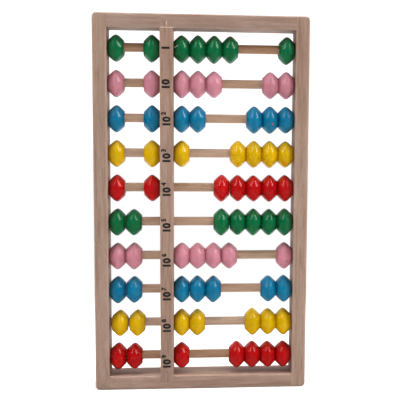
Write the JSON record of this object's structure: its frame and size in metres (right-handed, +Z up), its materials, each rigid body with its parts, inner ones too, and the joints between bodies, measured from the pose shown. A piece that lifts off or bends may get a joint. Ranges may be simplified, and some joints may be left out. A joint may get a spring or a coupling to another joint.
{
  "type": "abacus",
  "caption": "Upright wooden counting frame: a beam divides the rods into two decks of glossy coloured bicone beads that slide along them.",
  "frame": {"origin": "middle of the underside, where the frame stands on its short side", "axes": "+Z up along the long side, +X along the rods from the two-bead deck to the five-bead deck, front face towards -Y"},
  "size_m": [0.154, 0.021, 0.271],
  "materials": {
    "beech": "sanded beech with a thin matt lacquer, fine darker flecks along the grain",
    "dowel": "plain hardwood dowel, smooth from the beads",
    "paint_green": "turned wood under glossy green paint",
    "paint_pink": "turned wood under glossy pink paint",
    "paint_blue": "turned wood under glossy blue paint",
    "paint_yellow": "turned wood under glossy yellow paint",
    "paint_red": "turned wood under glossy red paint",
    "ink": "black printing ink on wood"
  },
  "bodies": {
    "frame": {"left_stile": "beech", "right_stile": "beech", "top_rail": "beech", "bottom_rail": "beech", "reckoning_beam": "beech", "rod_01": "dowel", "rod_02": "dowel", "rod_03": "dowel", "rod_04": "dowel", "rod_05": "dowel", "rod_06": "dowel", "rod_07": "dowel", "rod_08": "dowel", "rod_09": "dowel", "rod_10": "dowel"},
    "row_01_upper_outer_bead": {"row_01_upper_outer_bead": "paint_green"},
    "row_01_upper_inner_bead": {"row_01_upper_inner_bead": "paint_green"},
    "row_01_lower_beam_run": {"row_01_lower_beam_run": "paint_green"},
    "row_01_lower_stile_run": {"row_01_lower_stile_run": "paint_green"},
    "row_02_upper_outer_bead": {"row_02_upper_outer_bead": "paint_pink"},
    "row_02_upper_inner_bead": {"row_02_upper_inner_bead": "paint_pink"},
    "row_02_lower_beam_run": {"row_02_lower_beam_run": "paint_pink"},
    "row_02_lower_stile_run": {"row_02_lower_stile_run": "paint_pink"},
    "row_03_upper_outer_bead": {"row_03_upper_outer_bead": "paint_blue"},
    "row_03_upper_inner_bead": {"row_03_upper_inner_bead": "paint_blue"},
    "row_03_lower_beam_run": {"row_03_lower_beam_run": "paint_blue"},
    "row_03_lower_stile_run": {"row_03_lower_stile_run": "paint_blue"},
    "row_04_upper_outer_bead": {"row_04_upper_outer_bead": "paint_yellow"},
    "row_04_upper_inner_bead": {"row_04_upper_inner_bead": "paint_yellow"},
    "row_04_lower_beam_run": {"row_04_lower_beam_run": "paint_yellow"},
    "row_04_lower_stile_run": {"row_04_lower_stile_run": "paint_yellow"},
    "row_05_upper_outer_bead": {"row_05_upper_outer_bead": "paint_red"},
    "row_05_upper_inner_bead": {"row_05_upper_inner_bead": "paint_red"},
    "row_05_lower_beam_run": {"row_05_lower_beam_run": "paint_red"},
    "row_05_lower_stile_run": {"row_05_lower_stile_run": "paint_red"},
    "row_06_upper_outer_bead": {"row_06_upper_outer_bead": "paint_green"},
    "row_06_upper_inner_bead": {"row_06_upper_inner_bead": "paint_green"},
    "row_06_lower_beam_run": {"row_06_lower_beam_run": "paint_green"},
    "row_06_lower_stile_run": {"row_06_lower_stile_run": "paint_green"},
    "row_07_upper_outer_bead": {"row_07_upper_outer_bead": "paint_pink"},
    "row_07_upper_inner_bead": {"row_07_upper_inner_bead": "paint_pink"},
    "row_07_lower_beam_run": {"row_07_lower_beam_run": "paint_pink"},
    "row_07_lower_stile_run": {"row_07_lower_stile_run": "paint_pink"},
    "row_08_upper_outer_bead": {"row_08_upper_outer_bead": "paint_blue"},
    "row_08_upper_inner_bead": {"row_08_upper_inner_bead": "paint_blue"},
    "row_08_lower_beam_run": {"row_08_lower_beam_run": "paint_blue"},
    "row_08_lower_stile_run": {"row_08_lower_stile_run": "paint_blue"},
    "row_09_upper_outer_bead": {"row_09_upper_outer_bead": "paint_yellow"},
    "row_09_upper_inner_bead": {"row_09_upper_inner_bead": "paint_yellow"},
    "row_09_lower_beam_run": {"row_09_lower_beam_run": "paint_yellow"},
    "row_09_lower_stile_run": {"row_09_lower_stile_run": "paint_yellow"},
    "row_10_upper_outer_bead": {"row_10_upper_outer_bead": "paint_red"},
    "row_10_upper_inner_bead": {"row_10_upper_inner_bead": "paint_red"},
    "row_10_lower_beam_run": {"row_10_lower_beam_run": "paint_red"},
    "row_10_lower_stile_run": {"row_10_lower_stile_run": "paint_red"}
  },
  "joints": [
    {"name": "row_01_upper_outer_slide", "type": "slide", "parent": "frame", "child": "row_01_upper_outer_bead", "axis": [1, 0, 0], "range_m": [0, 0.01295]},
    {"name": "row_01_upper_inner_slide", "type": "slide", "parent": "frame", "child": "row_01_upper_inner_bead", "axis": [1, 0, 0], "range_m": [-0.01295, 0]},
    {"name": "row_01_lower_beam_slide", "type": "slide", "parent": "frame", "child": "row_01_lower_beam_run", "axis": [1, 0, 0], "range_m": [0, 0.02855]},
    {"name": "row_01_lower_stile_slide", "type": "slide", "parent": "frame", "child": "row_01_lower_stile_run", "axis": [1, 0, 0], "range_m": [-0.02855, 0]},
    {"name": "row_02_upper_outer_slide", "type": "slide", "parent": "frame", "child": "row_02_upper_outer_bead", "axis": [1, 0, 0], "range_m": [0, 0.01295]},
    {"name": "row_02_upper_inner_slide", "type": "slide", "parent": "frame", "child": "row_02_upper_inner_bead", "axis": [1, 0, 0], "range_m": [-0.01295, 0]},
    {"name": "row_02_lower_beam_slide", "type": "slide", "parent": "frame", "child": "row_02_lower_beam_run", "axis": [1, 0, 0], "range_m": [0, 0.02855]},
    {"name": "row_02_lower_stile_slide", "type": "slide", "parent": "frame", "child": "row_02_lower_stile_run", "axis": [1, 0, 0], "range_m": [-0.02855, 0]},
    {"name": "row_03_upper_outer_slide", "type": "slide", "parent": "frame", "child": "row_03_upper_outer_bead", "axis": [1, 0, 0], "range_m": [0, 0.01295]},
    {"name": "row_03_upper_inner_slide", "type": "slide", "parent": "frame", "child": "row_03_upper_inner_bead", "axis": [1, 0, 0], "range_m": [-0.01295, 0]},
    {"name": "row_03_lower_beam_slide", "type": "slide", "parent": "frame", "child": "row_03_lower_beam_run", "axis": [1, 0, 0], "range_m": [0, 0.02855]},
    {"name": "row_03_lower_stile_slide", "type": "slide", "parent": "frame", "child": "row_03_lower_stile_run", "axis": [1, 0, 0], "range_m": [-0.02855, 0]},
    {"name": "row_04_upper_outer_slide", "type": "slide", "parent": "frame", "child": "row_04_upper_outer_bead", "axis": [1, 0, 0], "range_m": [0, 0.01295]},
    {"name": "row_04_upper_inner_slide", "type": "slide", "parent": "frame", "child": "row_04_upper_inner_bead", "axis": [1, 0, 0], "range_m": [-0.01295, 0]},
    {"name": "row_04_lower_beam_slide", "type": "slide", "parent": "frame", "child": "row_04_lower_beam_run", "axis": [1, 0, 0], "range_m": [0, 0.02855]},
    {"name": "row_04_lower_stile_slide", "type": "slide", "parent": "frame", "child": "row_04_lower_stile_run", "axis": [1, 0, 0], "range_m": [-0.02855, 0]},
    {"name": "row_05_upper_outer_slide", "type": "slide", "parent": "frame", "child": "row_05_upper_outer_bead", "axis": [1, 0, 0], "range_m": [0, 0.01295]},
    {"name": "row_05_upper_inner_slide", "type": "slide", "parent": "frame", "child": "row_05_upper_inner_bead", "axis": [1, 0, 0], "range_m": [-0.01295, 0]},
    {"name": "row_05_lower_stile_slide", "type": "slide", "parent": "frame", "child": "row_05_lower_stile_run", "axis": [1, 0, 0], "range_m": [-0.02855, 0]},
    {"name": "row_05_lower_beam_slide", "type": "slide", "parent": "row_05_lower_stile_run", "child": "row_05_lower_beam_run", "axis": [-1, 0, 0], "range_m": [0, 0.02855]},
    {"name": "row_06_upper_outer_slide", "type": "slide", "parent": "frame", "child": "row_06_upper_outer_bead", "axis": [1, 0, 0], "range_m": [0, 0.01295]},
    {"name": "row_06_upper_inner_slide", "type": "slide", "parent": "row_06_upper_outer_bead", "child": "row_06_upper_inner_bead", "axis": [-1, 0, 0], "range_m": [-0.01295, 0]},
    {"name": "row_06_lower_stile_slide", "type": "slide", "parent": "frame", "child": "row_06_lower_stile_run", "axis": [1, 0, 0], "range_m": [-0.02855, 0]},
    {"name": "row_06_lower_beam_slide", "type": "slide", "parent": "row_06_lower_stile_run", "child": "row_06_lower_beam_run", "axis": [-1, 0, 0], "range_m": [0, 0.02855]},
    {"name": "row_07_upper_outer_slide", "type": "slide", "parent": "frame", "child": "row_07_upper_outer_bead", "axis": [1, 0, 0], "range_m": [0, 0.01295]},
    {"name": "row_07_upper_inner_slide", "type": "slide", "parent": "row_07_upper_outer_bead", "child": "row_07_upper_inner_bead", "axis": [-1, 0, 0], "range_m": [-0.01295, 0]},
    {"name": "row_07_lower_beam_slide", "type": "slide", "parent": "frame", "child": "row_07_lower_beam_run", "axis": [1, 0, 0], "range_m": [0, 0.02855]},
    {"name": "row_07_lower_stile_slide", "type": "slide", "parent": "frame", "child": "row_07_lower_stile_run", "axis": [1, 0, 0], "range_m": [-0.02855, 0]},
    {"name": "row_08_upper_outer_slide", "type": "slide", "parent": "frame", "child": "row_08_upper_outer_bead", "axis": [1, 0, 0], "range_m": [0, 0.01295]},
    {"name": "row_08_upper_inner_slide", "type": "slide", "parent": "row_08_upper_outer_bead", "child": "row_08_upper_inner_bead", "axis": [-1, 0, 0], "range_m": [-0.01295, 0]},
    {"name": "row_08_lower_beam_slide", "type": "slide", "parent": "frame", "child": "row_08_lower_beam_run", "axis": [1, 0, 0], "range_m": [0, 0.02855]},
    {"name": "row_08_lower_stile_slide", "type": "slide", "parent": "frame", "child": "row_08_lower_stile_run", "axis": [1, 0, 0], "range_m": [-0.02855, 0]},
    {"name": "row_09_upper_outer_slide", "type": "slide", "parent": "frame", "child": "row_09_upper_outer_bead", "axis": [1, 0, 0], "range_m": [-0.0014, 0.01075]},
    {"name": "row_09_upper_inner_slide", "type": "slide", "parent": "row_09_upper_outer_bead", "child": "row_09_upper_inner_bead", "axis": [-1, 0, 0], "range_m": [-0.01075, 0.0008]},
    {"name": "row_09_lower_beam_slide", "type": "slide", "parent": "frame", "child": "row_09_lower_beam_run", "axis": [1, 0, 0], "range_m": [0, 0.02855]},
    {"name": "row_09_lower_stile_slide", "type": "slide", "parent": "frame", "child": "row_09_lower_stile_run", "axis": [1, 0, 0], "range_m": [-0.02855, 0]},
    {"name": "row_10_upper_outer_slide", "type": "slide", "parent": "frame", "child": "row_10_upper_outer_bead", "axis": [1, 0, 0], "range_m": [0, 0.01295]},
    {"name": "row_10_upper_inner_slide", "type": "slide", "parent": "row_10_upper_outer_bead", "child": "row_10_upper_inner_bead", "axis": [-1, 0, 0], "range_m": [-0.01295, 0]},
    {"name": "row_10_lower_beam_slide", "type": "slide", "parent": "frame", "child": "row_10_lower_beam_run", "axis": [1, 0, 0], "range_m": [0, 0.02855]},
    {"name": "row_10_lower_stile_slide", "type": "slide", "parent": "frame", "child": "row_10_lower_stile_run", "axis": [1, 0, 0], "range_m": [-0.02855, 0]}
  ]
}
